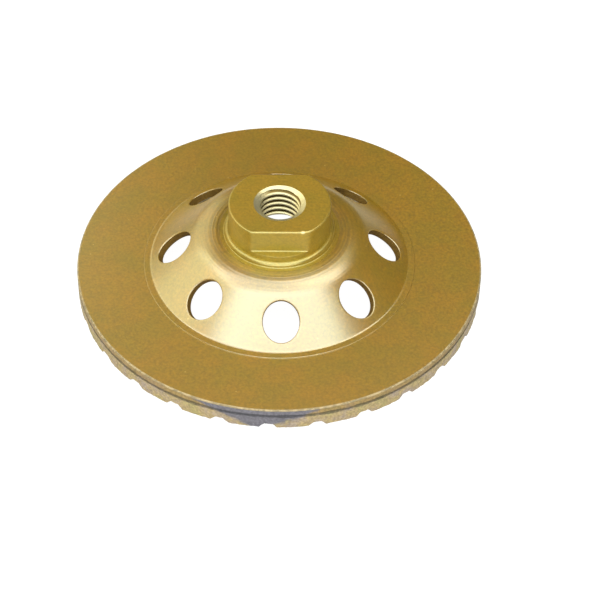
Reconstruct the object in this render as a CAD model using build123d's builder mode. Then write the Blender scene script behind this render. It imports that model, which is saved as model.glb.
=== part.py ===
from build123d import *
import math
import os

# A diamond cup wheel for a 125 mm angle grinder: a pressed steel cup with air holes, a turned hub
# with an M14 thread brazed into its crown, and a sintered turbo ring brazed under its rim.
# Z = 0 is the grinding face, the axis of the spindle is Z, and the hub points up. The spanner
# flats face -Y and +Y. All sizes are in millimetres, and all angles in degrees.

# The whole wheel, and its flat rim outside the foot of the dome
wheel_diameter = 125.0
rim_width = 22.7

# Abrasive ring, set back from the foot of the dome
ring_height = 5.0
ring_setback = 1.2
ring_edge_break = 0.3
groove_count = 27
groove_depth = 1.5
groove_width = 4.8
groove_floor_width = 2.2
groove_slant = 25.0
groove_start_angle = 267.2

# Pressed cup
sheet = 2.5
crown_rise = 13.0
crown_bend_reach = 4.15
base_bend_radius = 0.6
rim_top_rounding = 0.4
cup_edge_break = 0.3

# Raised band around the foot of the dome, left where the rim was faced
band_width = 2.1
band_height = 0.3
band_rounding = 0.2

# Air holes: oval, cut square to the flank, between its foot and the bend of the crown
air_hole_count = 8
air_hole_width = 11.0
air_hole_foot_margin = 2.93
air_hole_crown_margin = 0.75
air_hole_start_angle = 271.1
air_hole_rounding = 0.35

# Turned hub: each step is wider than the one above it
hub_diameter = 31.1
hub_height = 11.15
hub_edge_rounding = 0.45
flat_depth = 2.6
flat_root_rounding = 0.5
ledge_above_collar = 1.75
collar_overhang = 1.4
collar_height = 1.7
collar_rounding = 0.85
foot_overhang = 1.35
foot_thickness = 0.2
foot_rounding = 0.5

# Spigot of the hub, which fills the centre hole of the cup
spigot_diameter = 22.2
spigot_wall = 1.8

# Land turned into the crown for the hub's foot, and the flat left around it
land_clearance = 0.9
land_depth = 0.15
crown_shelf = 0.2

# M14 x 2 thread, drawn as its minor diameter
thread_diameter = 14.0
thread_pitch = 2.0
thread_mouth_relief = 0.9
minor_drop_per_pitch = 1.0825

# Levels, from the grinding face up
rim_bottom = ring_height
rim_top = rim_bottom + sheet
band_top = rim_top + band_height
crown_top = rim_top + crown_rise
crown_bottom = crown_top - sheet
hub_seat = crown_top - land_depth
hub_top = hub_seat + hub_height
collar_top = hub_seat + collar_height
ledge = collar_top + ledge_above_collar

# Radii of the hub, from its bore outwards
bore_radius = (thread_diameter - minor_drop_per_pitch * thread_pitch) / 2
mouth_radius = thread_diameter / 2 + thread_mouth_relief
spigot_radius = spigot_diameter / 2
exit_radius = spigot_radius - spigot_wall
hub_radius = hub_diameter / 2
collar_radius = hub_radius + collar_overhang
foot_radius = collar_radius + foot_overhang
land_radius = foot_radius + land_clearance

# The flank runs down from the crown's corner to the foot of the dome. The corner lies outside
# the land by the shelf and by the reach of its bend, and the rim sets the foot.
wheel_radius = wheel_diameter / 2
dome_base_radius = wheel_radius - rim_width
band_radius = dome_base_radius + band_width
crown_corner_radius = land_radius + crown_shelf + crown_bend_reach
flank_rise = crown_top - band_top
flank_run = dome_base_radius - crown_corner_radius
lean = math.atan2(flank_rise, flank_run)
crown_bend_radius = crown_bend_reach / math.tan(lean / 2)

# The inside of the sheet is the same line, set back by the wall.
inside_shift = sheet * math.tan(lean / 2)
inner_crown_corner_radius = crown_corner_radius - inside_shift
inner_rim_corner_radius = dome_base_radius + band_height / math.tan(lean) - inside_shift

# Air holes: the length left between the margins, and where the centres lie on the flank
flank_length = math.hypot(flank_rise, flank_run)
air_hole_length = flank_length - crown_bend_reach - air_hole_crown_margin - air_hole_foot_margin
air_hole_climb = air_hole_foot_margin + air_hole_length / 2
air_hole_radius = dome_base_radius - air_hole_climb * math.cos(lean)
air_hole_level = band_top + air_hole_climb * math.sin(lean)
air_hole_angles = [
    air_hole_start_angle + 360 / air_hole_count * index for index in range(air_hole_count)
]

# Ring and grooves: half the length of a groove's cut, from the outer edge inwards, and the lean
# of its sides
ring_width = rim_width - ring_setback
ring_inner_radius = wheel_radius - ring_width
groove_lean = math.degrees(math.atan((groove_width - groove_floor_width) / 2 / groove_depth))
groove_reach = (ring_width + groove_width) / math.cos(math.radians(groove_slant))


def flank_plane(angle):
    """The plane that touches the flank at an air hole's centre, with its X along the wheel's turn."""
    turn = math.radians(angle)
    return Plane(
        origin=(
            air_hole_radius * math.cos(turn),
            air_hole_radius * math.sin(turn),
            air_hole_level,
        ),
        x_dir=(-math.sin(turn), math.cos(turn), 0),
        z_dir=(
            math.sin(lean) * math.cos(turn),
            math.sin(lean) * math.sin(turn),
            math.cos(lean),
        ),
    )


# The cup: sheet pressed over a cone, with the rim faced and the crown bored for the hub
with BuildPart() as cup:
    with BuildSketch(Plane.XZ) as cup_section:
        with BuildLine():
            FilletPolyline(
                (spigot_radius, crown_bottom),
                (spigot_radius, crown_top),
                (crown_corner_radius, crown_top),
                (dome_base_radius, band_top),
                (band_radius, band_top),
                (band_radius, rim_top),
                (wheel_radius, rim_top),
                (wheel_radius, rim_bottom),
                (inner_rim_corner_radius, rim_bottom),
                (inner_crown_corner_radius, crown_bottom),
                radius=[
                    0,
                    0,
                    crown_bend_radius,
                    base_bend_radius,
                    band_rounding,
                    0,
                    rim_top_rounding,
                    0,
                    base_bend_radius + sheet,
                    crown_bend_radius - sheet,
                ],
                close=True,
            )
        make_face()
    revolve(axis=Axis.Z)

    lower_rim_edge = (
        cup.edges()
        .filter_by(GeomType.CIRCLE)
        .filter_by(lambda edge: abs(edge.radius - wheel_radius) < 0.001)
        .sort_by(Axis.Z)[0]
    )
    chamfer(lower_rim_edge, length=cup_edge_break)

    # The land is turned down from above the crown.
    with BuildSketch(Plane.XY.offset(hub_seat)):
        Circle(land_radius)
    extrude(amount=crown_rise, mode=Mode.SUBTRACT)

    # The air holes are cut square to the flank, each on its own plane there.
    with BuildSketch(*[flank_plane(angle) for angle in air_hole_angles]):
        Ellipse(air_hole_width / 2, air_hole_length / 2)
    extrude(amount=2 * sheet, both=True, mode=Mode.SUBTRACT)

    # Their outer edges are the inner wires of the flank's outer face, and are rounded over.
    outer_flank = cup.faces().filter_by(GeomType.CONE).sort_by(SortBy.AREA)[-1]
    fillet(outer_flank.inner_wires().edges(), radius=air_hole_rounding)

# The hub: turned in one piece with its foot collar and spigot, then bored and milled
with BuildPart() as threaded_hub:
    with BuildSketch(Plane.XZ) as hub_section:
        with BuildLine():
            FilletPolyline(
                (bore_radius, crown_bottom),
                (spigot_radius, crown_bottom),
                (spigot_radius, hub_seat),
                (foot_radius, hub_seat),
                (foot_radius, hub_seat + foot_thickness),
                (collar_radius, hub_seat + foot_thickness),
                (collar_radius, collar_top),
                (hub_radius, collar_top),
                (hub_radius, hub_top),
                (bore_radius, hub_top),
                radius=[0, 0, 0, 0, 0, foot_rounding, collar_rounding, 0, 0, 0],
                close=True,
            )
        make_face()
    revolve(axis=Axis.Z)

    # The thread's mouth and its exit are countersunk.
    bore_edges = (
        threaded_hub.edges()
        .filter_by(GeomType.CIRCLE)
        .filter_by(lambda edge: abs(edge.radius - bore_radius) < 0.001)
        .sort_by(Axis.Z)
    )
    chamfer(bore_edges[-1], length=mouth_radius - bore_radius)
    chamfer(bore_edges[0], length=exit_radius - bore_radius)

    # Two spanner flats are milled down from the top, to a ledge.
    with BuildSketch(Plane.XY.offset(ledge)):
        with Locations((0, hub_radius), (0, -hub_radius)):
            Rectangle(hub_diameter, 2 * flat_depth)
    extrude(amount=hub_height, mode=Mode.SUBTRACT)

    flat_roots = (
        threaded_hub.edges()
        .filter_by(Axis.X)
        .filter_by(lambda edge: abs(edge.center().Z - ledge) < 0.001)
    )
    fillet(flat_roots, radius=flat_root_rounding)
    top_face = threaded_hub.faces().filter_by(Axis.Z).sort_by(Axis.Z)[-1]
    fillet(top_face.outer_wire().edges(), radius=hub_edge_rounding)

# The abrasive ring: one sintered ring, with slanted grooves pressed into its working face
with BuildPart() as turbo_rim:
    with BuildSketch(Plane.XZ) as rim_section:
        with BuildLine():
            Polyline(
                (ring_inner_radius, 0),
                (wheel_radius, 0),
                (wheel_radius, rim_bottom - ring_edge_break),
                (wheel_radius - ring_edge_break, rim_bottom),
                (ring_inner_radius, rim_bottom),
                close=True,
            )
        make_face()
    revolve(axis=Axis.Z)

    # Each groove is centred on the outer edge and runs out past the inner edge. Its sides lean in
    # towards its floor.
    with BuildSketch(Plane.XY):
        with PolarLocations(wheel_radius, groove_count, start_angle=groove_start_angle):
            Rectangle(2 * groove_reach, groove_width, rotation=groove_slant)
    extrude(amount=groove_depth, taper=groove_lean, mode=Mode.SUBTRACT)

os.makedirs("parts", exist_ok=True)
cup.part.label = "cup"
threaded_hub.part.label = "threaded_hub"
turbo_rim.part.label = "turbo_rim"
export_step(cup.part, "parts/cup.step")
export_step(threaded_hub.part, "parts/threaded_hub.step")
export_step(turbo_rim.part, "parts/turbo_rim.step")
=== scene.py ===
# %% [markdown]
# A diamond cup wheel, as it lies on a table. The real wheel is made of three pieces: a steel cup
# pressed from sheet, a turned hub with a spindle thread, and a sintered diamond ring. They are
# brazed together and then sprayed with a satin gold paint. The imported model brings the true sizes,
# and this script makes the finished surfaces over it.

import bmesh
import bpy
import math
import numpy as np
from mathutils import Matrix, Vector


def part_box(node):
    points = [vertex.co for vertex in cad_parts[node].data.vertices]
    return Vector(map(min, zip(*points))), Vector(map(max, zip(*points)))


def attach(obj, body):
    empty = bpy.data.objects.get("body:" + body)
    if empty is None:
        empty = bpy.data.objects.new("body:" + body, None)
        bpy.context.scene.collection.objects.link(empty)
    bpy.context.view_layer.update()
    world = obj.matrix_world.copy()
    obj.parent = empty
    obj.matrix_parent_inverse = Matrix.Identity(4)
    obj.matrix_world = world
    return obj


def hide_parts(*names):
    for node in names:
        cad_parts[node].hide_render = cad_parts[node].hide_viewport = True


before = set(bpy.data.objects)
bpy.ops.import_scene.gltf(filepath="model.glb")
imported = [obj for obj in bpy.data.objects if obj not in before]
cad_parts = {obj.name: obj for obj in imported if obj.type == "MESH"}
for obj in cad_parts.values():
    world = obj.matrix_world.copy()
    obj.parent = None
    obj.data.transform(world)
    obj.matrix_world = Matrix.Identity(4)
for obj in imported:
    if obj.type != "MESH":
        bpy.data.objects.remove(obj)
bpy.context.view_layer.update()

# %% [markdown]
# The sizes come first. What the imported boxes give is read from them, and the rest is repeated here
# as named lengths, so that every finished surface lies where the solid one is. A few bends and
# roundings differ from the solid's by some tenths of a millimetre, because the highlights in the
# photograph show them so.

# %% Sizes of the three pieces
mm = 0.001
_, cup_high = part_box("cup")
hub_low, hub_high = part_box("threaded_hub")
_, ring_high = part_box("turbo_rim")

wheel_radius = cup_high.x
rim_width = 22.7 * mm
rim_bottom = ring_high.z
sheet = 2.5 * mm
rim_top = rim_bottom + sheet
crown_top = cup_high.z
crown_bottom = hub_low.z
cup_edge_break = 0.3 * mm
rim_top_rounding = 0.4 * mm
band_width = 2.1 * mm
band_height = 0.3 * mm
band_rounding = 0.1 * mm
base_bend_radius = 1.0 * mm
inner_bend_radius = 3.1 * mm
crown_bend_reach = 4.15 * mm
crown_shelf = 0.2 * mm

hub_top = hub_high.z
land_depth = 0.15 * mm
hub_seat = crown_top - land_depth
hub_radius = 15.55 * mm
flat_reach = 12.95 * mm
hub_edge_rounding = 0.45 * mm
flat_root_rounding = 0.4 * mm
collar_height = 1.7 * mm
collar_top = hub_seat + collar_height
collar_radius = 16.95 * mm
collar_rounding = 1.15 * mm
ledge_above_collar = 1.75 * mm
ledge = collar_top + ledge_above_collar
foot_radius = hub_high.x
foot_rounding = 0.3 * mm
foot_thickness = 0.2 * mm
foot_top = hub_seat + foot_thickness
spigot_radius = 11.1 * mm
exit_radius = 9.3 * mm
mouth_radius = 7.9 * mm
mouth_angle = 30
mouth_slope = math.tan(math.radians(mouth_angle))
land_clearance = 0.9 * mm
land_radius = foot_radius + land_clearance

ring_setback = 1.2 * mm
ring_inner_radius = wheel_radius - (rim_width - ring_setback)
ring_edge_break = 0.3 * mm
print("wheel", round(2 * wheel_radius / mm, 2), "mm across,", round(hub_top / mm, 2), "mm tall")

# %% [markdown]
# Most surfaces here are turned ones, so a section is drawn as a list of corners, each with its
# rounding, and then goes round the axis. The helper below draws each corner as a true arc. Long
# straight runs get extra points, with one close to each end, so that smooth shading stays flat on
# the flats and turns only at the roundings.

# %% Sections with rounded corners
arc_steps = 5
guard = 0.12 * mm
long_run = 5 * guard


def unit(vector):
    return vector / np.linalg.norm(vector)


def rounded_path(corners, steps=arc_steps):
    """Draws (across, up, rounding) corners as points, with an arc at each rounding."""
    path = [np.array(corners[0][:2])]
    for before, corner, after in zip(corners, corners[1:], corners[2:]):
        here = np.array(corner[:2])
        back = unit(np.array(before[:2]) - here)
        onward = unit(np.array(after[:2]) - here)
        if corner[2] == 0:
            path.append(here)
            continue
        half = math.acos(np.clip(back @ onward, -1, 1)) / 2
        centre = here + unit(back + onward) * corner[2] / math.sin(half)
        start = here + back * corner[2] / math.tan(half) - centre
        end = here + onward * corner[2] / math.tan(half) - centre
        sweep = math.pi - 2 * half
        for step in range(steps + 1):
            share = step / steps
            from_start = math.sin((1 - share) * sweep) / math.sin(sweep)
            from_end = math.sin(share * sweep) / math.sin(sweep)
            path.append(centre + start * from_start + end * from_end)
    path.append(np.array(corners[-1][:2]))
    return path


def with_rows(path, longest):
    """Adds points on the long runs of a path, with one close to each end of a run."""
    rows = [path[0]]
    for start, end in zip(path, path[1:]):
        run = np.linalg.norm(end - start)
        shares = []
        if run > long_run:
            inner = max(1, math.ceil((run - 2 * guard) / longest))
            shares = [guard / run + (1 - 2 * guard / run) * k / inner for k in range(inner + 1)]
        rows += [start + (end - start) * share for share in shares]
        rows.append(end)
    return rows


# %% [markdown]
# A mesh is built up from grids of points. Each grid has its rows along the section and its columns
# round the axis, and its faces point outwards when the section runs outwards on top, down the
# outside and back inwards below. Each row of faces also gets a number that says how it is finished:
# painted, raw where hardly any paint has reached and darkened as painted shade, rubbed thin, or cut
# after painting.

# %% Grids into meshes
painted, raw_shaded, rubbed, cut = 0, 1, 2, 3


class Skin:
    """Collects grids of points and turns them into one mesh."""

    def __init__(self):
        self.points = []
        self.faces = []
        self.finishes = []
        self.count = 0

    def add(self, grid, closed=False, finishes=None, climb=0):
        """Adds quads over a grid of shape (rows, columns, 3), closed across the columns or not.

        In the grid of a thread, the last column meets the first one as many rows higher as climb.
        """
        rows, columns = grid.shape[:2]
        self.points.append(grid.reshape(-1, 3))
        for row in range(rows - 1):
            for column in range(columns if closed else columns - 1):
                beside = (column + 1) % columns
                level = row + climb if beside == 0 else row
                if level + 1 >= rows:
                    continue
                self.faces.append((
                    self.count + row * columns + column,
                    self.count + (row + 1) * columns + column,
                    self.count + (level + 1) * columns + beside,
                    self.count + level * columns + beside,
                ))
                self.finishes.append(finishes[row] if finishes else painted)
        self.count += rows * columns

    def mesh(self, name):
        """Makes the mesh, with the finishes as an attribute of its faces."""
        mesh = bpy.data.meshes.new(name)
        mesh.from_pydata(np.concatenate(self.points).tolist(), [], self.faces)
        layer = mesh.attributes.new("finish", "INT", "FACE")
        layer.data.foreach_set("value", self.finishes)
        return mesh


def place(name, mesh):
    """Links a mesh to the scene as an object at the origin."""
    piece = bpy.data.objects.new(name, mesh)
    bpy.context.scene.collection.objects.link(piece)
    return piece


def polar(radius, azimuth, level):
    """Places given by their distance from the axis, their azimuth and their height."""
    across, along = radius * np.cos(azimuth), radius * np.sin(azimuth)
    return np.stack(np.broadcast_arrays(across, along, level), -1)


def turned(rows, angles):
    """Turns a section's points round the axis. Gives a grid of shape (rows, angles, 3)."""
    section = np.array(rows)
    return polar(section[:, :1], angles, section[:, 1:])


# %% [markdown]
# The camera stands where the photographer stood: about two thirds of a metre away, 45 degrees up,
# with a long lens. A few tenths of a degree of roll and turn come from fitting the wheel's circles
# to the picture.

# %% Camera
camera_elevation = math.radians(45.50)
camera_turn = math.radians(-0.73)
camera_roll = math.radians(0.82)
camera_distance = 658.0 * mm
aim = Vector((6.32 * mm, -17.22 * mm, rim_top))
sensor_width = 36.0
focal_length = 129.74


def outwards(turn, elevation):
    """The direction from the wheel at a turn from the front and an elevation."""
    flat = math.cos(elevation)
    return Vector((math.sin(turn) * flat, -math.cos(turn) * flat, math.sin(elevation)))


back = outwards(camera_turn, camera_elevation)
level_right = Vector((math.cos(camera_turn), math.sin(camera_turn), 0))
level_up = back.cross(level_right)
right = level_right * math.cos(camera_roll) + level_up * math.sin(camera_roll)
up = level_up * math.cos(camera_roll) - level_right * math.sin(camera_roll)
camera_data = bpy.data.cameras.new("camera")
camera_data.sensor_width = sensor_width
camera_data.lens = focal_length
camera = bpy.data.objects.new("camera", camera_data)
camera.matrix_world = Matrix.Translation(aim + back * camera_distance) @ Matrix(
    (right, up, back)
).transposed().to_4x4()
bpy.context.scene.collection.objects.link(camera)
bpy.context.scene.camera = camera
print("camera at", [round(value, 4) for value in camera.location])

# %% [markdown]
# Shader and geometry trees are wired with small helpers. Each socket of a node is given a value,
# an output, or another node, whose first output is then meant. So a material is written in the
# order in which it works, from a point's place on the piece down to the shader.

# %% Node helpers
def give(tree, node, sockets):
    """Gives sockets of a node, by name or number, a value, an output or a node."""
    for socket, value in sockets.items():
        if isinstance(value, bpy.types.Node):
            value = value.outputs[0]
        if isinstance(value, bpy.types.NodeSocket):
            tree.links.new(value, node.inputs[socket])
        else:
            node.inputs[socket].default_value = value


def add_node(tree, kind, sockets=None, **settings):
    """Adds a node of a kind, sets its settings, and then gives its sockets what they need."""
    node = tree.nodes.new(kind)
    for name, value in settings.items():
        setattr(node, name, value)
    give(tree, node, sockets or {})
    return node


def worked(tree, operation, *operands):
    """Works out a number."""
    return add_node(tree, "ShaderNodeMath", dict(enumerate(operands)), operation=operation)


def rise(tree, value, low, high):
    """Rises smoothly from 0 to 1 while a value goes from low to high."""
    sockets = {0: value, 1: low, 2: high}
    return add_node(tree, "ShaderNodeMapRange", sockets, interpolation_type="SMOOTHSTEP")


def between(tree, value, start, end, low=0.0, high=1.0):
    """Goes evenly from start to end while a value goes from low to high."""
    return add_node(tree, "ShaderNodeMapRange", {0: value, 1: low, 2: high, 3: start, 4: end})


def blend(tree, share, first, second):
    """Mixes two colours, from the first one to the second one by a share."""
    sockets = {0: share, 6: first, 7: second}
    return add_node(tree, "ShaderNodeMix", sockets, data_type="RGBA").outputs[2]


def scaled(tree, vector, by):
    """Makes a colour lighter or darker, or a direction longer or shorter, by a value."""
    return add_node(tree, "ShaderNodeVectorMath", {0: vector, "Scale": by}, operation="SCALE")


def noise(tree, spot, scale, detail, roughness=0.5):
    """Adds a noise over the piece. Its scale is how many of its coarsest grains make a metre."""
    sockets = {"Vector": spot, "Scale": scale, "Detail": detail, "Roughness": roughness}
    return add_node(tree, "ShaderNodeTexNoise", sockets)


def raised(tree, height, strength, depth, under=None):
    """Adds a bump, and lays it over the normal of another one where that is given."""
    sockets = {"Height": height, "Strength": strength, "Distance": depth}
    if under is not None:
        sockets["Normal"] = under
    return add_node(tree, "ShaderNodeBump", sockets)


def axes(tree, spot):
    """Splits a place into its X, Y and Z."""
    return add_node(tree, "ShaderNodeSeparateXYZ", {"Vector": spot}).outputs


def distance(tree, spot, centre=(0, 0, 0)):
    """Gives how far a place lies from a centre."""
    sockets = {0: spot, 1: centre}
    return add_node(tree, "ShaderNodeVectorMath", sockets, operation="DISTANCE").outputs["Value"]


def radius_and_level(tree, spot):
    """Gives a point's distance from the axis and its height."""
    flat = add_node(tree, "ShaderNodeVectorMath", {0: spot, 1: (1, 1, 0)}, operation="MULTIPLY")
    return distance(tree, flat), axes(tree, spot)["Z"]


# %% [markdown]
# Each material starts from Blender's Principled shader and from the Object coordinates, which stay
# fixed to the piece. A finish that comes on top of another one asks what is wired to the shader
# already and lays itself over that.

# %% New materials and paint chart colours
def new_material(name):
    """Makes a material. Gives it, its tree, its shader and a point's place on the piece."""
    material = bpy.data.materials.new(name)
    material.use_nodes = True
    tree = material.node_tree
    spot = add_node(tree, "ShaderNodeTexCoord").outputs["Object"]
    return material, tree, tree.nodes["Principled BSDF"], spot


def laid_below(shader, socket):
    """Gives the output that is wired to a socket of the shader."""
    return shader.inputs[socket].links[0].from_socket


def linear(red, green, blue):
    """A colour as a paint chart gives it, from 0 to 255, as the shader needs it."""
    values = []
    for value in (red, green, blue):
        share = value / 255
        values.append(share / 12.92 if share <= 0.04045 else ((share + 0.055) / 1.055) ** 2.4)
    return (*values, 1.0)


# %% [markdown]
# The gold paint is a satin lacquer full of fine metal flakes. Its body colour is strong, and its
# gloss is nearly white, so the shader is mostly a plain dielectric with a high index of refraction
# and only a little metal. Its tone drifts between olive and ochre over about a centimetre, and a
# fine speckle lies on that. The speckle is also the bump, which gives the spray's orange peel.

# %% Gold paint
peel_depth = 0.05 * mm


def gold_paint(name, ochre, olive, gloss, index, tint):
    """Satin gold lacquer, with the roughness, the index of refraction and the tint of its gloss."""
    material, tree, shader, spot = new_material(name)
    drift = rise(tree, noise(tree, spot, 100.0, 4.0, 0.65), 0.3, 0.7)
    speckle = noise(tree, spot, 1300.0, 2.0, 0.6)
    shade = between(tree, speckle, 0.75, 1.25, 0.3, 0.7)
    give(tree, shader, {
        "Base Color": scaled(tree, blend(tree, drift, olive, ochre), shade),
        "Normal": raised(tree, speckle, 0.3, peel_depth),
        "Metallic": 0.1,
        "Roughness": gloss,
        "IOR": index,
        "Specular Tint": (*tint, 1),
    })
    return material, tree, shader, spot


cup_gloss = 0.28
cup_gold, *cup_nodes = gold_paint(
    "cup_gold", linear(150, 109, 8), linear(138, 108, 8), cup_gloss, 3.1, (0.96, 1.0, 0.85)
)
hub_gold, *hub_nodes = gold_paint(
    "hub_gold", linear(146, 110, 22), linear(134, 107, 20), 0.32, 2.9, (0.96, 0.98, 0.48)
)
print("gold paint on the cup has", len(cup_gold.node_tree.nodes), "nodes")

# %% [markdown]
# The crown was turned on a lathe before it was painted, and its fine rings show through the paint. A
# noise that only reads the distance from the axis makes rings of uneven width. They fade out down
# the flank. Along the outer edge of the rim the paint is worn pale and dull, more here and less
# there, and between the worn patches it is painted darker, as painted shade that tones down the
# light on the edge's rounding. A few pale specks lie in the paint. The specks are cells of a Voronoi
# texture, of which only some are picked, by their colour.

# %% Turning marks, worn edge with painted shade, and pale specks on the cup
ring_spacing = 0.8 * mm
ring_depth = 0.05 * mm
marks_full, marks_end = 20 * mm, 27 * mm
worn_reach = 0.55 * mm


def turned_and_worn(tree, shader, spot):
    """Adds turning marks round the crown, a worn rim edge with painted shade, and pale specks to the
    paint.
    """
    radius, level = radius_and_level(tree, spot)

    rings = add_node(tree, "ShaderNodeTexNoise", {
        "W": worked(tree, "MULTIPLY", radius, 1 / ring_spacing),
        "Scale": 1.0,
        "Detail": 2.0,
    }, noise_dimensions="1D")
    depth = rise(tree, rings, 0.35, 0.65)
    near_hub = rise(tree, radius, marks_end, marks_full)
    on_top = rise(tree, level, crown_top - 5 * mm, crown_top - 1 * mm)
    zone = worked(tree, "MULTIPLY", near_hub, on_top)
    sockets = {0: zone, 2: 1.0, 3: between(tree, depth, 0.78, 1.08)}
    marks = add_node(tree, "ShaderNodeMix", sockets, data_type="FLOAT")
    ringed = scaled(tree, laid_below(shader, "Base Color"), marks)

    at_edge = rise(tree, radius, wheel_radius - worn_reach, wheel_radius - cup_edge_break)
    patches = rise(tree, noise(tree, spot, 420.0, 4.0, 0.7), 0.44, 0.58)
    worn = worked(tree, "MULTIPLY", patches, at_edge)
    # Painted shade: away from the worn patches the edge is darker, to tone down the light on its
    # rounding.
    edge_painted_shade = scaled(tree, ringed, between(tree, at_edge, 1.0, 0.55))
    edged = blend(tree, worn, edge_painted_shade, linear(160, 132, 80))

    cells = add_node(tree, "ShaderNodeTexVoronoi", {"Vector": spot, "Scale": 260.0})
    pick = add_node(tree, "ShaderNodeSeparateColor", {"Color": cells.outputs["Color"]})
    few = rise(tree, pick.outputs["Red"], 0.6, 0.62)
    dots = rise(tree, cells.outputs["Distance"], 0.08, 0.04)
    specks = worked(tree, "MULTIPLY", dots, few)
    rings_cut = worked(tree, "MULTIPLY", depth, zone)
    give(tree, shader, {
        "Base Color": blend(tree, specks, edged, linear(184, 152, 72)),
        "Roughness": between(tree, at_edge, cup_gloss, 0.8),
        "Normal": raised(tree, rings_cut, 0.4, ring_depth, laid_below(shader, "Normal")),
    })


turned_and_worn(*cup_nodes)
print("with its wear it has", len(cup_gold.node_tree.nodes))

# %% [markdown]
# A small burr on the front edge of the hub's top has lost its paint. Its pale spot is the unpainted
# metal, and also a painted highlight for the glint that the burr catches.

# %% Worn burr with a painted highlight on the hub
burr_centre = (7.0 * mm, -12.75 * mm, hub_top - 0.1 * mm)
burr_heart, burr_reach = 0.2 * mm, 0.9 * mm


def burr_worn_and_painted_highlight(tree, shader, spot):
    """Mixes a pale spot into the hub's paint around the burr: unpainted metal and a painted
    highlight.
    """
    near = rise(tree, distance(tree, spot, burr_centre), burr_reach, burr_heart)
    paint = laid_below(shader, "Base Color")
    # Painted highlight: the pale colour also stands in for the glint on the burr.
    give(tree, shader, {"Base Color": blend(tree, near, paint, linear(224, 200, 140))})


burr_worn_and_painted_highlight(*hub_nodes)
print("burr at", [round(value / mm, 2) for value in burr_centre], "mm")

# %% [markdown]
# Where the air holes were punched, hardly any paint has reached the metal. It is dull and dark brown
# there, and the dark brown is also painted shade, for the shade inside the holes.

# %% Raw edges with painted shade
def raw_shaded_steel(name):
    """Dull brown steel with a little overspray, darkened as painted shade."""
    material, tree, shader, spot = new_material(name)
    mottle = noise(tree, spot, 700.0, 3.0)
    give(tree, shader, {
        # Painted shade: the dark brown stands in for the shade inside the air holes.
        "Base Color": blend(tree, mottle, linear(70, 48, 14), linear(120, 92, 34)),
        "Roughness": 0.75,
        "Specular IOR Level": 0.2,
    })
    return material


raw_shaded_edge = raw_shaded_steel("raw_shaded_edge")
print("raw edge has", len(raw_shaded_edge.node_tree.nodes), "nodes")

# %% [markdown]
# The thread and its countersink are pale and shiny on the crests, and darkened in the roots as
# painted shade, for the shade that the crests cast there. How deep a point lies comes from its
# distance from the axis, less the radius that the bore and its two countersinks have at that height.

# %% Thread metal
minor_radius = 5.9175 * mm
scratch_depth = 0.04 * mm
root_shade_begins, root_shade_full = 0.15 * mm, 0.6 * mm


def thread_depth(tree, spot):
    """Gives how far a point lies behind the thread's crests and countersinks."""
    radius, level = radius_and_level(tree, spot)
    slope = 1 / mouth_slope
    mouth = worked(tree, "MULTIPLY_ADD", level, slope, mouth_radius - hub_top * slope)
    exit_cone = worked(tree, "SUBTRACT", exit_radius + crown_bottom, level)
    cones = worked(tree, "MAXIMUM", mouth, exit_cone)
    return worked(tree, "SUBTRACT", radius, worked(tree, "MAXIMUM", cones, minor_radius))


def tapped_metal(name):
    """Pale, shiny metal with fine scratches round the bore and painted shade in the roots."""
    material, tree, shader, spot = new_material(name)
    stretch = add_node(tree, "ShaderNodeMapping", {"Vector": spot, "Scale": (1, 1, 6)})
    scratches = noise(tree, stretch, 900.0, 3.0)
    clean = blend(tree, scratches, linear(190, 178, 132), linear(214, 204, 162))
    # Painted shade: the roots are darkened by how deep they lie behind the crests.
    root_shade = rise(tree, thread_depth(tree, spot), root_shade_begins, root_shade_full)
    give(tree, shader, {
        "Base Color": blend(tree, root_shade, clean, linear(96, 78, 32)),
        "Normal": raised(tree, scratches, 0.2, scratch_depth),
        "Metallic": 0.75,
        "Roughness": 0.32,
    })
    return material


thread_metal = tapped_metal("thread_metal")
print("thread metal has", len(thread_metal.node_tree.nodes), "nodes")

# %% [markdown]
# The ring is sintered bronze and iron with diamond grit, only thinly sprayed. It looks tan, with
# lilac and greenish patches where the metal shows. At the front a grey patch runs over a couple of
# centimetres, on the ring and further along the cup's edge above it.
# A dark line fills the joint between the two: dirt, and painted shade for the shade in the groove
# there.

# %% Sintered ring material
grain_depth = 0.15 * mm
joint_dark_spread = 0.9 * mm
raggedness = 8 * mm
spread_above = 2.4
lean_above = -2.2


def front_patch(tree, spot, patches):
    """Gives 1 on the grey stretch at the front, which is longer higher up, and 0 elsewhere."""
    across, along, level = axes(tree, spot)
    ragged = worked(tree, "MULTIPLY_ADD", patches, raggedness, across)
    spreading = worked(tree, "MULTIPLY_ADD", level, spread_above, ragged)
    leaning = worked(tree, "MULTIPLY_ADD", level, lean_above, ragged)
    begins = rise(tree, spreading, -5.5 * mm, -1.5 * mm)
    ends = rise(tree, leaning, 2.5 * mm, -1.5 * mm)
    front = rise(tree, along, -40 * mm, -50 * mm)
    return worked(tree, "MULTIPLY", worked(tree, "MULTIPLY", begins, ends), front)


def joint_dirt_and_shade(tree, spot, patches):
    """Gives 1 on open metal and falls to a low value at the joint under the cup: dirt and painted
    shade.
    """
    above = worked(tree, "SUBTRACT", axes(tree, spot)["Z"], rim_bottom)
    ragged = worked(tree, "MULTIPLY", patches, joint_dark_spread)
    reach = worked(tree, "SUBTRACT", worked(tree, "ABSOLUTE", above), ragged)
    return between(tree, rise(tree, reach, -0.15 * mm, 0.4 * mm), 0.38, 1.0)


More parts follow.
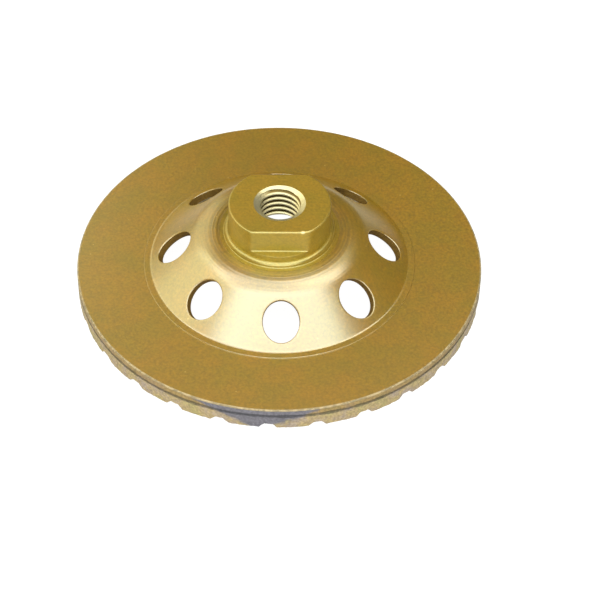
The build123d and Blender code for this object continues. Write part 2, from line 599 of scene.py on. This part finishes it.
def sintered_metal(name, lilac, tan, green):
    """Thinly sprayed metal: patches of three tones, a grey stretch at the front, and a coarse grain.
    """
    material, tree, shader, spot = new_material(name)
    patches = noise(tree, spot, 190.0, 4.0, 0.6)
    tones = add_node(tree, "ShaderNodeValToRGB", {"Fac": patches})
    tones.color_ramp.elements[0].position = 0.36
    tones.color_ramp.elements[0].color = lilac
    tones.color_ramp.elements[1].position = 0.5
    tones.color_ramp.elements[1].color = tan
    tones.color_ramp.elements.new(0.66).color = green
    grey_patch = front_patch(tree, spot, patches)
    colour = blend(tree, grey_patch, tones, linear(108, 105, 111))
    grain = noise(tree, spot, 1400.0, 3.0)
    grained = scaled(tree, colour, between(tree, grain, 0.7, 1.25, 0.3, 0.7))
    give(tree, shader, {
        # The joint's dark line is dirt and painted shade.
        "Base Color": scaled(tree, grained, joint_dirt_and_shade(tree, spot, patches)),
        "Normal": raised(tree, grain, 0.6, grain_depth),
        "Metallic": 0.2,
        "Roughness": 0.55,
    })
    return material


ring_metal = sintered_metal(
    "ring_metal", linear(160, 143, 123), linear(168, 147, 103), linear(162, 149, 96)
)
rubbed_paint = sintered_metal(
    "rubbed_paint", linear(146, 122, 84), linear(154, 127, 74), linear(142, 121, 70)
)
print("ring metal has", len(ring_metal.node_tree.nodes), "nodes")

# %% [markdown]
# The cup repeats eight times round its axis: each eighth has one air hole. So one eighth is drawn
# as a mesh, and Geometry Nodes turn it round the axis and weld the seams. The hole is oval and cut
# square to the cone of the flank. Its rows of points run from the inner wall of the cup, through
# the hole, over the rounded lip and out to the edges of the eighth. What fits between other
# pieces takes its size from theirs: the flank runs from the rim to the land under the hub, and a
# hole fills the flank between two margins. The paths leave the flank itself out.

# %% The cup's section
air_hole_count = 8
air_hole_width = 11.0 * mm
air_hole_foot_margin = 2.93 * mm
air_hole_crown_margin = 0.75 * mm
air_hole_first_turn = math.radians(271.1)
lip_rounding = 0.35 * mm
inner_edge_break = 0.15 * mm
crown_arc_steps = 9

dome_base_radius = wheel_radius - rim_width
band_top = rim_top + band_height
band_radius = dome_base_radius + band_width
crown_corner_radius = land_radius + crown_shelf + crown_bend_reach
flank_rise = crown_top - band_top
flank_run = dome_base_radius - crown_corner_radius
lean = math.atan2(flank_rise, flank_run)
crown_bend_radius = crown_bend_reach / math.tan(lean / 2)
inside_shift = sheet * math.tan(lean / 2)
inner_crown_corner = crown_corner_radius - inside_shift
inner_rim_corner = dome_base_radius + band_height / math.tan(lean) - inside_shift
flank_length = math.hypot(flank_rise, flank_run)
air_hole_length = flank_length - crown_bend_reach - air_hole_crown_margin - air_hole_foot_margin
air_hole_climb = air_hole_foot_margin + air_hole_length / 2

outer_flank = [(crown_corner_radius, crown_top), (dome_base_radius, band_top)]
inner_flank = [(inner_rim_corner, rim_bottom), (inner_crown_corner, crown_bottom)]
crown_path = rounded_path([
    (*inner_flank[0], 0),
    (*inner_flank[1], crown_bend_radius - sheet),
    (spigot_radius, crown_bottom, 0),
    (spigot_radius, hub_seat, 0),
    (land_radius, hub_seat, 0),
    (land_radius, crown_top, 0),
    (*outer_flank[0], crown_bend_radius),
    (*outer_flank[1], 0),
], steps=crown_arc_steps)[1:-1]
rim_path = rounded_path([
    (*outer_flank[0], 0),
    (*outer_flank[1], base_bend_radius),
    (band_radius, band_top, band_rounding),
    (band_radius, rim_top, 0),
    (wheel_radius, rim_top, rim_top_rounding),
    (wheel_radius, rim_bottom + cup_edge_break, 0),
    (wheel_radius - cup_edge_break, rim_bottom, 0),
    (*inner_flank[0], inner_bend_radius),
    (*inner_flank[1], 0),
])[1:-1]
print("flank leans", round(math.degrees(lean), 2), "degrees")
print("an air hole is", round(air_hole_length / mm, 2), "mm long")

# %% [markdown]
# A place on the flank is given by its azimuth, by its climb up the slope from the foot of the dome,
# and by its depth, square into the sheet from the outside. An air hole is an oval drawn on the
# plane that touches the flank at the hole's centre.

# %% Places on the flank
slides = 6


def on_flank(azimuth, climb, depth):
    """The point at a climb from the dome's foot and a depth under the outside of the flank."""
    radius = dome_base_radius - climb * math.cos(lean) - depth * math.sin(lean)
    level = band_top + climb * math.sin(lean) - depth * math.cos(lean)
    return polar(radius, azimuth, level)


def from_flank(radius, level):
    """How far up the flank a point lies, and how far outside it."""
    out, up = radius - dome_base_radius, level - band_top
    return up * math.sin(lean) - out * math.cos(lean), out * math.sin(lean) + up * math.cos(lean)


def hole_row(turns, grow, depth):
    """A row round the hole, wider than it by grow, at a depth. Gives azimuths and climbs."""
    centre = on_flank(0.0, air_hole_climb, 0)
    uphill = np.array([-math.cos(lean), 0, math.sin(lean)])
    square = np.array([math.sin(lean), 0, math.cos(lean)])
    across = (air_hole_width / 2 + grow) * np.cos(turns)
    along = (air_hole_length / 2 + grow) * np.sin(turns)
    points = centre + np.outer(across, [0, 1, 0]) + np.outer(along, uphill)
    # The cone falls away from its tangent plane, so each point slides along the hole's axis on to
    # it, a little nearer at each slide.
    for _ in range(slides):
        radius = np.hypot(points[:, 0], points[:, 1])
        above = from_flank(radius, points[:, 2])[1]
        slope = points[:, 0] / radius * math.sin(lean) ** 2 + math.cos(lean) ** 2
        points = points - np.outer((above + depth) / slope, square)
    radius = np.hypot(points[:, 0], points[:, 1])
    return np.arctan2(points[:, 1], points[:, 0]), from_flank(radius, points[:, 2])[0]


print("an air hole is centred", round(air_hole_climb / mm, 2), "mm up the flank")

# %% [markdown]
# Between the hole and the straight border of the eighth lie rings of points. Each ring is a mix of
# the hole's outline and of the border, and the rings are crowded towards the hole.

# %% Rings of points round a hole
column_steps = 24
side_steps = 14
patch_rings = 9
crowding = 1.3
half_eighth = math.pi / air_hole_count


def flank_border(low, high):
    """The edge of one eighth of the flank, run round anticlockwise as azimuths and climbs."""
    azimuths = np.linspace(-half_eighth, half_eighth, column_steps + 1)
    climbs = np.linspace(low, high, side_steps + 1)
    azimuth = np.concatenate([
        azimuths[:-1],
        np.full(side_steps, half_eighth),
        azimuths[:0:-1],
        np.full(side_steps, -half_eighth),
    ])
    climb = np.concatenate([
        np.full(column_steps, low),
        climbs[:-1],
        np.full(column_steps, high),
        climbs[:0:-1],
    ])
    return azimuth, climb


def flank_patch(turns, grow, depth, low, high):
    """Rows from the hole's edge out to the border of the eighth."""
    hole_azimuth, hole_climb = hole_row(turns, grow, depth)
    azimuth, climb = flank_border(low, high)
    rows = []
    for ring in range(patch_rings + 1):
        share = (ring / patch_rings) ** crowding
        rows.append(on_flank(
            hole_azimuth + (azimuth - hole_azimuth) * share,
            hole_climb + (climb - hole_climb) * share,
            depth,
        ))
    return rows


print("a ring of points has", 2 * (column_steps + side_steps), "points")

# %% [markdown]
# The eighth is made of three grids: the crown with the land under the hub, the rim with the band and
# the outer wall, and the flank with its hole. The rows inside the hole are raw metal darkened with
# painted shade, and the outer wall of the rim is rubbed.

# %% One eighth of the cup
row_spacing = 2.5 * mm
hole_wall_rows = 6
chamfer_reach = 1.01 * cup_edge_break
rubbed_below_top = 0.3 * mm


def rim_finishes(rows):
    """The cup's outer wall is rubbed, down to the small chamfer under it."""
    finishes = []
    for (radius, level), (next_radius, next_level) in zip(rows, rows[1:]):
        on_wall = min(radius, next_radius) > wheel_radius - chamfer_reach
        low_enough = max(level, next_level) < rim_top - rubbed_below_top
        finishes.append(rubbed if on_wall and low_enough else painted)
    return finishes


def cup_eighth():
    """One eighth of the cup, with its air hole at azimuth 0."""
    skin = Skin()
    angles = np.linspace(-half_eighth, half_eighth, column_steps + 1)
    skin.add(turned(with_rows(crown_path, row_spacing), angles))
    rim_rows = with_rows(rim_path, row_spacing)
    skin.add(turned(rim_rows, angles), finishes=rim_finishes(rim_rows))
    outer_low, inner_low = from_flank(*rim_path[0])[0], from_flank(*rim_path[-1])[0]
    outer_high, inner_high = from_flank(*crown_path[-1])[0], from_flank(*crown_path[0])[0]
    azimuth, climb = flank_border(outer_low, outer_high)
    hole_radius = dome_base_radius - air_hole_climb * math.cos(lean)
    turns = np.arctan2(
        (climb - air_hole_climb) / air_hole_length,
        azimuth * hole_radius / air_hole_width,
    )
    rows = flank_patch(turns, inner_edge_break, sheet, inner_low, inner_high)[::-1]
    finishes = [painted] * len(rows)
    for depth in np.linspace(sheet - inner_edge_break, lip_rounding, hole_wall_rows):
        rows.append(on_flank(*hole_row(turns, 0, depth), depth))
        finishes.append(raw_shaded)
    for step in range(1, arc_steps):
        angle = math.pi / 2 * (1 - step / arc_steps)
        depth = lip_rounding * (1 - math.cos(angle))
        grow = lip_rounding * (1 - math.sin(angle))
        rows.append(on_flank(*hole_row(turns, grow, depth), depth))
        finishes.append(painted)
    outer = flank_patch(turns, lip_rounding, 0, outer_low, outer_high)
    rows += outer
    finishes += [painted] * len(outer)
    skin.add(np.stack(rows), closed=True, finishes=finishes)
    return skin.mesh("cup_eighth")


eighth = cup_eighth()
print("one eighth has", len(eighth.polygons), "faces")

# %% [markdown]
# The tree that turns a sector round the axis serves the cup and the ring alike. Its inputs are the
# number of copies, the turn of the first, the distance under which seams weld, and how deep the
# surface is eaten by roughness. The copies are made real before the weld, and each finish gets its
# material at the end.

# %% Geometry Nodes: a sector round the axis
sector_sizes = [
    "First Turn", "Weld Distance", "Roughness Depth", "Grain Size", "Rough Below", "Seed"
]


def sector_tree(name, materials):
    """Copies a sector round the Z axis, roughens it below a level, and paints each finish."""
    tree = bpy.data.node_groups.new(name, "GeometryNodeTree")
    face = tree.interface
    face.new_socket("Geometry", in_out="INPUT", socket_type="NodeSocketGeometry")
    face.new_socket("Count", in_out="INPUT", socket_type="NodeSocketInt")
    for label in sector_sizes:
        face.new_socket(label, in_out="INPUT", socket_type="NodeSocketFloat")
    face.new_socket("Geometry", in_out="OUTPUT", socket_type="NodeSocketGeometry")
    sizes = add_node(tree, "NodeGroupInput").outputs

    centres = add_node(tree, "GeometryNodePoints", {"Count": sizes["Count"]})
    index = add_node(tree, "GeometryNodeInputIndex")
    step = worked(tree, "DIVIDE", math.tau, sizes["Count"])
    turn = worked(tree, "MULTIPLY_ADD", index, step, sizes["First Turn"])
    euler = add_node(tree, "ShaderNodeCombineXYZ", {"Z": turn})
    copies = add_node(tree, "GeometryNodeInstanceOnPoints", {
        "Points": centres,
        "Instance": sizes["Geometry"],
        "Rotation": add_node(tree, "FunctionNodeEulerToRotation", {"Euler": euler}),
    })
    weld = add_node(tree, "GeometryNodeMergeByDistance", {
        "Geometry": add_node(tree, "GeometryNodeRealizeInstances", {"Geometry": copies}),
        "Distance": sizes["Weld Distance"],
    })

    position = add_node(tree, "GeometryNodeInputPosition")
    below = worked(tree, "LESS_THAN", axes(tree, position)["Z"], sizes["Rough Below"])
    grain = add_node(tree, "ShaderNodeTexNoise", {
        "Vector": position,
        "W": sizes["Seed"],
        "Scale": worked(tree, "DIVIDE", 1.0, sizes["Grain Size"]),
        "Detail": 3.0,
        "Roughness": 0.65,
    }, noise_dimensions="4D")
    pits = between(tree, grain, 0.0, -1.0, 0.42, 0.75)
    depth = worked(tree, "MULTIPLY", pits, sizes["Roughness Depth"])
    normal = add_node(tree, "GeometryNodeInputNormal")
    inwards = scaled(tree, normal, worked(tree, "MULTIPLY", depth, below))
    last = add_node(tree, "GeometryNodeSetPosition", {"Geometry": weld, "Offset": inwards})

    finish = add_node(tree, "GeometryNodeInputNamedAttribute", {"Name": "finish"}, data_type="INT")
    for number, material in materials.items():
        sides = {2: finish, 3: number}
        same = add_node(tree, "FunctionNodeCompare", sides, data_type="INT", operation="EQUAL")
        sockets = {"Geometry": last, "Selection": same, "Material": material}
        last = add_node(tree, "GeometryNodeSetMaterial", sockets)
    add_node(tree, "NodeGroupOutput", {"Geometry": last})
    return tree


# %% [markdown]
# A modifier runs the tree on the mesh of a sector, and what it makes is kept as a plain mesh. Its
# faces are then made to point outwards, and a count of its open edges shows whether it is closed.

# %% From a sector to a whole piece
closest = 0.001 * mm


def grown(name, mesh, tree, sizes):
    """Runs a tree on a mesh with the named sizes, and keeps the result as a plain mesh."""
    source = place(name + "_sector", mesh)
    modifier = source.modifiers.new("grow", "NODES")
    modifier.node_group = tree
    for item in tree.interface.items_tree:
        if item.in_out == "INPUT" and item.name in sizes:
            modifier[item.identifier] = sizes[item.name]
    graph = bpy.context.evaluated_depsgraph_get()
    result = bpy.data.meshes.new_from_object(source.evaluated_get(graph), depsgraph=graph)
    source.modifiers.remove(modifier)
    bpy.data.objects.remove(source)
    result.name = name
    return place(name, result)


def smooth(piece, crease=30):
    """Smooth shading with the edges sharper than the crease kept crisp."""
    piece.data.polygons.foreach_set("use_smooth", [True] * len(piece.data.polygons))
    piece.data.set_sharp_from_angle(angle=math.radians(crease))


def faces_outward(piece):
    """Welds what still lies double and makes every face of a closed mesh point outwards."""
    shell = bmesh.new()
    shell.from_mesh(piece.data)
    bmesh.ops.remove_doubles(shell, verts=shell.verts, dist=closest)
    bmesh.ops.dissolve_degenerate(shell, edges=shell.edges, dist=closest)
    bmesh.ops.recalc_face_normals(shell, faces=shell.faces)
    open_edges = sum(1 for edge in shell.edges if len(edge.link_faces) != 2)
    shell.to_mesh(piece.data)
    shell.free()
    print(piece.name, len(piece.data.polygons), "faces,", open_edges, "open edges")


# %% [markdown]
# The cup is eight of its eighths. Pressed sheet is smooth, so its roughness has no depth.

# %% The cup
weld_distance = 0.002 * mm
cup_finishes = {painted: cup_gold, raw_shaded: raw_shaded_edge, rubbed: rubbed_paint}
cup = grown("pressed_cup", eighth, sector_tree("cup_sectors", cup_finishes), {
    "Count": air_hole_count,
    "First Turn": air_hole_first_turn,
    "Weld Distance": weld_distance,
    "Roughness Depth": 0.0,
    "Grain Size": 1.0 * mm,
    "Rough Below": 0.0,
    "Seed": 1.0,
})
faces_outward(cup)
smooth(cup)

# %% [markdown]
# The ring is turned too, but 27 grooves cross its working face. Each is a straight channel set at
# a slant, so its sides are straight lines that cut the ring's circles at a changing angle. The
# channel's own section gives the columns of the mesh: how far beside the groove's middle each one
# runs, and at which level the working face lies there.

# %% The grooves and the ring's section
groove_count = 27
groove_depth = 1.5 * mm
groove_width = 4.8 * mm
groove_floor_width = 2.2 * mm
groove_slant = math.radians(25)
groove_first_turn = math.radians(267.2)
groove_margin = 0.8 * mm
groove_edge_rounding = 0.4 * mm
groove_root_rounding = 0.45 * mm
groove_column_spacing = 0.45 * mm
worn_edge = 0.25 * mm
ring_arc_steps = 3

channel = with_rows(rounded_path([
    (-groove_width / 2 - groove_margin, 0, 0),
    (-groove_width / 2, 0, groove_edge_rounding),
    (-groove_floor_width / 2, groove_depth, groove_root_rounding),
    (groove_floor_width / 2, groove_depth, groove_root_rounding),
    (groove_width / 2, 0, groove_edge_rounding),
    (groove_width / 2 + groove_margin, 0, 0),
], steps=ring_arc_steps), groove_column_spacing)


def slanted(radius, aside):
    """The azimuth, at a radius, of a line that runs beside a groove's middle at a distance."""
    return groove_slant + np.arcsin((aside - wheel_radius * math.sin(groove_slant)) / radius)


def ring_section(floor):
    """The ring's section where its working face is at the level of floor."""
    return rounded_path([
        (ring_inner_radius, rim_bottom, 0),
        (wheel_radius - ring_edge_break, rim_bottom, 0),
        (wheel_radius, rim_bottom - ring_edge_break, 0),
        (wheel_radius, floor, worn_edge),
        (ring_inner_radius, floor, worn_edge),
        (ring_inner_radius, rim_bottom, 0),
    ], steps=ring_arc_steps)


print("a groove has", len(channel), "columns")

# %% [markdown]
# One groove and the tooth beside it make the sector. Its section is divided alike in all columns:
# along the top, down the outer wall, in along the working face and up the inner wall. The same tree
# as before copies the sector and then pits it, so that no two teeth are alike.

# %% One tooth of the ring
tooth_columns = 17
top_steps, wall_steps, face_steps, inner_wall_steps = 5, 11, 26, 7
section_steps = [top_steps, 1, wall_steps, 1, 1, 1, face_steps, 1, 1, 1, inner_wall_steps]


def spread(path, counts):
    """Divides each run of a path into its own number of steps."""
    rows = [path[0]]
    for start, end, count in zip(path, path[1:], counts):
        rows += [start + (end - start) * (step + 1) / count for step in range(count)]
    return np.array(rows)


def tooth_sector():
    """One groove and the tooth beside it."""
    skin = Skin()
    pitch = math.tau / groove_count
    columns = []
    for aside, floor in channel:
        rows = spread(ring_section(floor), section_steps)
        columns.append((rows, slanted(rows[:, 0], aside)))
    last_aside = channel[-1][0]
    for step in range(1, tooth_columns + 1):
        share = step / tooth_columns
        rows = spread(ring_section(0.0), section_steps)
        leaving = slanted(rows[:, 0], last_aside)
        arriving = slanted(rows[:, 0], -last_aside) + pitch
        columns.append((rows, leaving + (arriving - leaving) * share))
    skin.add(np.stack([polar(rows[:, 0], azimuth, rows[:, 1]) for rows, azimuth in columns], 1))
    return skin.mesh("tooth")


tooth = tooth_sector()
ring_finishes = {painted: ring_metal}
ring = grown("diamond_ring", tooth, sector_tree("ring_sectors", ring_finishes), {
    "Count": groove_count,
    "First Turn": groove_first_turn,
    "Weld Distance": weld_distance,
    "Roughness Depth": 0.22 * mm,
    "Grain Size": 1.6 * mm,
    "Rough Below": rim_bottom - 1.2 * ring_edge_break,
    "Seed": 3.0,
})
faces_outward(ring)
smooth(ring, 40)

# %% [markdown]
# The hub is turned, then milled with two flats and tapped. All its rows have the same columns, and
# four of them stand exactly on the corners between flat and round, so that those edges are crisp.
# The milled corners are slightly rounded, and the front right one is worn down, most of all at the
# top.

# %% The hub's columns and outline
arc_columns = 60
flat_columns = 34
corner_turn = math.asin(flat_reach / hub_radius)
round_share = np.arange(arc_columns) / arc_columns
flat_share = np.arange(flat_columns) / flat_columns
round_turns = -corner_turn + 2 * corner_turn * round_share
flat_turns = corner_turn + (math.pi - 2 * corner_turn) * flat_share
half_turn = np.concatenate([round_turns, flat_turns])
columns = np.concatenate([half_turn, half_turn + math.pi])
on_flat = np.abs(np.sin(columns)) > flat_reach / hub_radius + 1e-6


def hub_row(outline, level):
    """A row of the hub, with one radius and one level, or one of them for each column."""
    return polar(outline, columns, level)


corner_blend = 0.3 * mm
worn_blend = 1.7 * mm
worn_turns = math.radians(14)
from_worn_corner = np.abs((columns + corner_turn + math.pi) % math.tau - math.pi)
wear = np.clip(1 - from_worn_corner / worn_turns, 0, 1) ** 0.5


def milled(inset, past=0.0, level=1.0):
    """The hub's outline drawn in by an inset, with the flats moved outwards by past.

    level goes from 0 at the flats' root to 1 at the top, and sets how far the worn corner is worn.
    """
    circle = np.full(columns.shape, hub_radius - inset)
    flat = (flat_reach - inset + past) / np.maximum(np.abs(np.sin(columns)), 1e-9)
    soft = corner_blend + (worn_blend - corner_blend) * wear * level
    share = np.clip(0.5 + 0.5 * (circle - flat) / soft, 0, 1)
    return circle + (flat - circle) * share - soft * share * (1 - share)


print("the hub has", len(columns), "columns, of which", on_flat.sum(), "are on its flats")

# %% [markdown]
# The outside is a stack of rows from the thread's mouth over the top edge, down the side, through
# the rounding at the root of the flats and out over the ledge. From there on the hub is round, and
# an ordinary section takes over: the collar, the foot on the crown, and the spigot inside the cup.

# %% The hub's outside
top_shares = (0, 0.03, 0.3, 0.65, 0.96, 1.0)
side_shares = (0.03, 0.25, 0.5, 0.75, 0.97, 1.0)
ledge_shares = (0.1, 0.5, 0.9, 1.0)
ledge_edge_break = 0.03 * mm
hub_arc_steps = 7
hub_row_spacing = 1.0 * mm


def hub_outside():
    """Rows from the mouth of the thread, over the top, down the side and in to the exit cone."""
    rows = []
    angles = [math.pi / 2 * step / arc_steps for step in range(1, arc_steps + 1)]
    arc = [(1 - math.sin(angle), 1 - math.cos(angle)) for angle in angles]
    wide = milled(hub_edge_rounding) - mouth_radius
    for share in top_shares:
        rows.append(hub_row(mouth_radius + wide * share, hub_top))
    for inset, below in arc:
        outline = milled(hub_edge_rounding * inset)
        rows.append(hub_row(outline, hub_top - hub_edge_rounding * below))
    side_top = hub_top - hub_edge_rounding
    root = ledge + flat_root_rounding
    for share in side_shares:
        rows.append(hub_row(milled(0.0, level=1 - share), side_top + (root - side_top) * share))
    for above, past in arc:
        outline = milled(0.0, flat_root_rounding * past, 0.0)
        rows.append(hub_row(outline, ledge + flat_root_rounding * above))
    start = milled(0.0, flat_root_rounding, 0.0)
    end = np.where(on_flat, hub_radius - ledge_edge_break, hub_radius)
    for share in ledge_shares:
        drop = np.where(on_flat, 0.0, ledge_edge_break * share)
        rows.append(hub_row(start + (end - start) * share, ledge - drop))
    turned_part = rounded_path([
        (hub_radius, ledge - 1.5 * ledge_edge_break, 0),
        (hub_radius, collar_top, 0),
        (collar_radius, collar_top, collar_rounding),
        (collar_radius, foot_top, foot_rounding),
        (foot_radius, foot_top, 0),
        (foot_radius, hub_seat, 0),
        (spigot_radius, hub_seat, 0),
        (spigot_radius, crown_bottom, 0),
        (exit_radius, crown_bottom, 0),
    ], steps=hub_arc_steps)
    for radius, level in with_rows(turned_part, hub_row_spacing):
        rows.append(hub_row(radius, level))
    return np.stack(rows)


outside = hub_outside()
print("the hub's outside has", len(outside), "rows")

# %% [markdown]
# The thread is a true one: its rows climb by one pitch in each turn. At both ends a countersink is
# wider than the thread and cuts it off, so that the grooves run out in it as real ones do.

# %% The thread
thread_radius = 7.0 * mm
thread_pitch = 2.0 * mm
crest_share = 0.25
root_share = 0.125
rows_per_pitch = 16
thread_start = 0.45


def thread_outline(phase):
    """The radius of the thread at a phase from 0 to 1, from one crest to the next."""
    flank_share = (1 - crest_share - root_share) / 2
    corners = [0, crest_share, crest_share + flank_share, 1 - flank_share, 1]
    radii = [minor_radius, minor_radius, thread_radius, thread_radius, minor_radius]
    return np.interp(phase % 1.0, corners, radii)


def bore_rows():
    """Rows that climb with the thread from the exit cone to the mouth."""
    height = hub_top - crown_bottom
    count = math.ceil((height / thread_pitch + 1) * rows_per_pitch)
    climb = thread_pitch * columns / math.tau
    rows = []
    for row in range(-rows_per_pitch, count + 1):
        phase = row / rows_per_pitch
        level = np.clip(crown_bottom + phase * thread_pitch + climb, crown_bottom, hub_top)
        outline = thread_outline(phase - thread_start)
        cones = np.maximum(
            exit_radius - (level - crown_bottom),
            mouth_radius - (hub_top - level) / mouth_slope,
        )
        rows.append(hub_row(np.maximum(outline, cones), level))
    return np.stack(rows)


bore = bore_rows()
print("the bore has", len(bore), "rows")

# %% [markdown]
# The outside and the bore make one closed mesh. The thread was cut after the paint, so its faces
# get a material of their own.

# %% The hub
hub_skin = Skin()
hub_skin.add(outside, closed=True)
hub_skin.add(bore, closed=True, finishes=[cut] * len(bore), climb=rows_per_pitch)
hub = place("turned_hub", hub_skin.mesh("turned_hub"))
faces_outward(hub)
smooth(hub)
hub.data.materials.append(hub_gold)
hub.data.materials.append(thread_metal)
face_finishes = np.zeros(len(hub.data.polygons), dtype=np.int32)
hub.data.attributes["finish"].data.foreach_get("value", face_finishes)
hub.data.polygons.foreach_set("material_index", (face_finishes == cut).astype(np.int32))

# %% [markdown]
# Each finished piece now takes the place of its solid and rides on the wheel's one body.

# %% Hand the pieces to the frame
for piece, node, slot in (
    (cup, "cup", "cup_coat"),
    (hub, "threaded_hub", "hub_coat"),
    (ring, "turbo_rim", "rim_coat"),
):
    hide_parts(node)
    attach(piece, "root")
    print(piece.name, "stands for", node)

# %% [markdown]
# The stage is a round white table. The camera sees it glow in an even white, with a faint matt
# share on which the wheel's shadow still falls. In the wheel's gloss the glow fades away from the
# wheel, as a small white table in a dim room does. All other light meets a plain matt surface.

# %% Table
table_radius = 1.5
table_drop = 0.05 * mm
table_columns = 97
camera_glow = 0.96
near_glow = 0.62
far_glow = 0.1
glow_reach = (0.15, 0.6)


def white_table():
    """A matt white table that shows as plain white, with the shadow kept."""
    material, tree, shader, spot = new_material("white_table")
    tree.nodes.remove(shader)
    path = add_node(tree, "ShaderNodeLightPath").outputs
    mirrored = worked(tree, "MAXIMUM", path["Is Glossy Ray"], path["Is Transmission Ray"])
    seen = worked(tree, "MAXIMUM", path["Is Camera Ray"], mirrored)
    fade = between(tree, distance(tree, spot), near_glow, far_glow, *glow_reach)
    full = worked(tree, "MULTIPLY", path["Is Camera Ray"], camera_glow)
    glow = add_node(tree, "ShaderNodeEmission", {"Strength": worked(tree, "MAXIMUM", full, fade)})
    faint = add_node(tree, "ShaderNodeBsdfDiffuse", {"Color": (0.18, 0.18, 0.18, 1)})
    matt = add_node(tree, "ShaderNodeBsdfDiffuse", {"Color": (0.8, 0.8, 0.8, 1)})
    white = add_node(tree, "ShaderNodeAddShader", {0: faint, 1: glow})
    choice = add_node(tree, "ShaderNodeMixShader", {"Fac": seen, 1: matt, 2: white})
    give(tree, tree.nodes["Material Output"], {"Surface": choice})
    return material


table_skin = Skin()
table_path = [(0.0, -table_drop), (table_radius, -table_drop)]
table_skin.add(turned(table_path, np.linspace(0, math.tau, table_columns)))
table = place("table", table_skin.mesh("table"))
faces_outward(table)
table.data.materials.append(white_table())

# %% [markdown]
# Long soft boxes hang across in front of the wheel and over it, and the lowest one in front is a
# wall of light. Two warm ones stand low on the left, and a small warm one hangs at the right. The
# rest of the room stays dim. The flat rim mirrors the room behind and keeps its full colour, while
# the front of the dome mirrors the boxes in front and goes nearly white. A box is given by its turn
# from the front, its elevation, how far away it stands, its width and height, and its brightness.

# %% Lights
def soft_box(name, turn, elevation, reach, wide, tall, radiance, colour=(1, 1, 1)):
    """A rectangular light that faces the wheel. Its brightness is the same whatever its size."""
    light = bpy.data.lights.new(name, "AREA")
    light.shape = "RECTANGLE"
    light.size = wide
    light.size_y = tall
    light.energy = radiance * math.pi * wide * tall
    light.color = colour
    lamp = bpy.data.objects.new(name, light)
    away = outwards(math.radians(turn), math.radians(elevation))
    lamp.location = away * reach
    lamp.rotation_euler = away.to_track_quat("Z", "Y").to_euler()
    bpy.context.scene.collection.objects.link(lamp)


warm = (1.0, 0.94, 0.66)
cool = (0.93, 1.0, 1.0)
soft_box("front_low", -3, 50, 0.7, 1.1, 0.21, 2.35, cool)
soft_box("front_high", 0, 66, 0.7, 1.1, 0.21, 3.8, cool)
soft_box("overhead_front", 0, 83, 0.65, 1.1, 0.2, 1.8)
soft_box("overhead_back", 180, 80, 0.65, 1.1, 0.2, 2.3)
soft_box("left_front", -100, 36, 0.8, 0.6, 0.6, 1.9, warm)
soft_box("left_back", -142, 27, 0.8, 0.6, 0.6, 1.15, warm)
soft_box("right_high", 115, 66, 0.65, 0.45, 0.35, 1.4, warm)
soft_box("front_wall", 0, 20, 0.9, 1.1, 0.46, 3.8)
print(len(bpy.data.lights), "soft boxes")

# %% [markdown]
# The world is a dim grey that lights the wheel from all sides. Only the camera sees it as white.

# %% World
room_grey = (0.056, 0.056, 0.063, 1)
world = bpy.data.worlds.new("studio")
bpy.context.scene.world = world
world.use_nodes = True
room = world.node_tree
seen = add_node(room, "ShaderNodeLightPath").outputs["Is Camera Ray"]
tone = blend(room, seen, room_grey, (1, 1, 1, 1))
give(room, room.nodes["Background"], {"Color": tone, "Strength": 1.0})
bpy.context.scene.view_settings.view_transform = "Standard"
print("world", world.name, "with view transform", bpy.context.scene.view_settings.view_transform)
